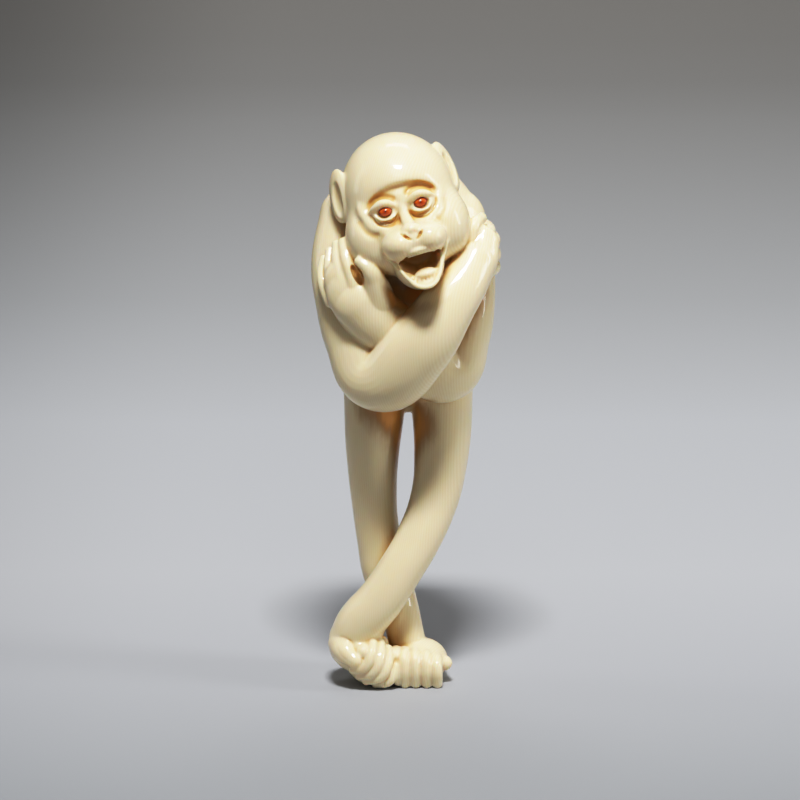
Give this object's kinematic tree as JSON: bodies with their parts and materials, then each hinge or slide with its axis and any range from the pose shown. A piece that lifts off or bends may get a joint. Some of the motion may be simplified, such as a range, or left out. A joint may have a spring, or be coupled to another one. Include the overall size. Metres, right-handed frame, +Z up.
{
  "type": "netsuke figure",
  "caption": "Carved ivory netsuke of a shivering monkey, standing on crossed legs with folded arms, an open mouth and inlaid eyes.",
  "frame": {"origin": "on the surface it stands on, under the middle of the figure's bounding box", "axes": "+Z up from the feet to the crown, -Y to the front, where the monkey faces, +X to the viewer's right"},
  "size_m": [0.025, 0.0278, 0.0747],
  "materials": {
    "ivory": "polished cream ivory with a warm patina in the hollows",
    "amber": "polished red-orange inlay",
    "dark_horn": "polished dark brown inlay"
  },
  "bodies": {
    "root": {"monkey": "ivory", "right_iris": "amber", "left_iris": "amber", "right_pupil": "dark_horn", "left_pupil": "dark_horn"}
  },
  "joints": []
}
